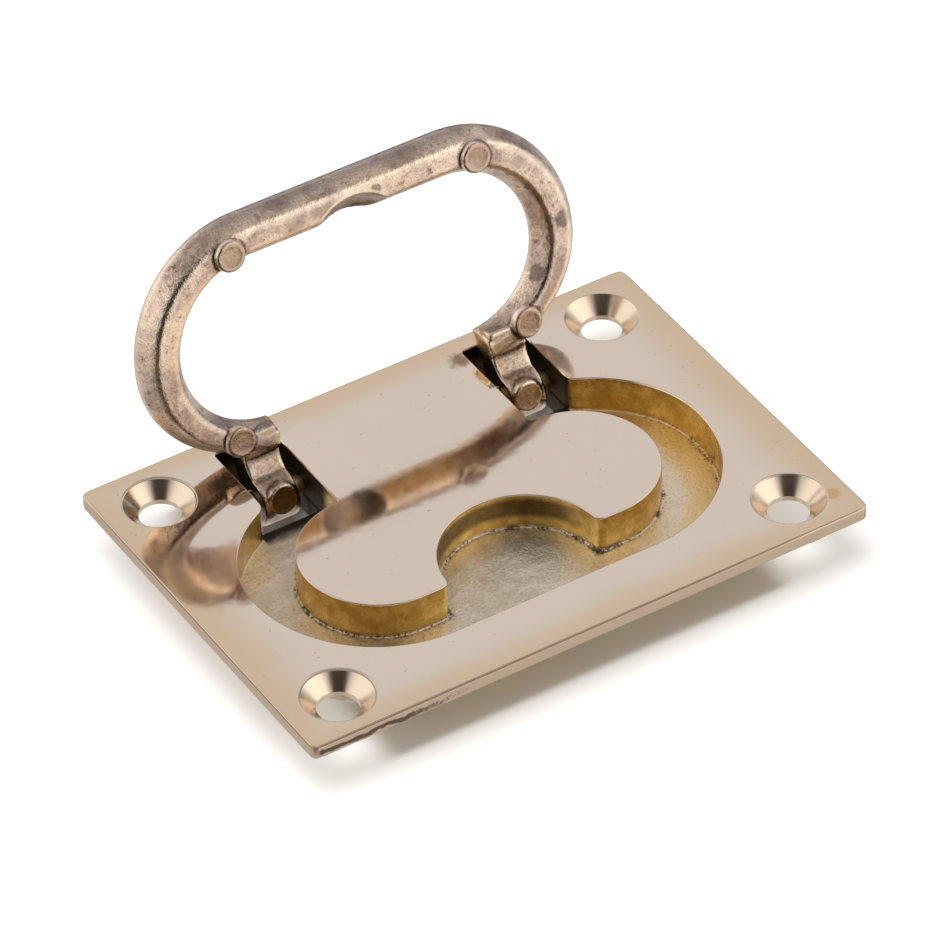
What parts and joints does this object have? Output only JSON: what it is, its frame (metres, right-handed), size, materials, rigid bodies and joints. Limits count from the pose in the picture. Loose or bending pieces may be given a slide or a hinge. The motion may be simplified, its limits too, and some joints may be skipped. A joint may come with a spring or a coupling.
{
  "type": "flush pull",
  "caption": "Flush pull with a rectangular face plate, a C-shaped recess with a finger pocket, and a hinged C-shaped bail that folds into it.",
  "frame": {"origin": "on the flat underside of the recess pan, below the centre of the face plate", "axes": "+X along the length of the plate, +Y from the finger pocket towards the hinged side, +Z out of the surface that the plate is let into"},
  "size_m": [0.076, 0.0571, 0.0365],
  "materials": {
    "polished_brass": "cast brass, top face polished to a mirror, recess and underside left satin",
    "cast_bronze": "dull grey-brown casting with light tarnish",
    "pin_brass": "drawn rod, satin"
  },
  "bodies": {
    "plate": {"face_plate": "polished_brass", "hinge_pin_left": "pin_brass", "hinge_pin_right": "pin_brass"},
    "bail": {"bail": "cast_bronze"}
  },
  "joints": [
    {"name": "bail_hinge", "type": "hinge", "parent": "plate", "child": "bail", "pos_m": [0, 0.0176, 0.0035], "axis": [1, 0, 0], "range_deg": [0, 106.2]}
  ]
}
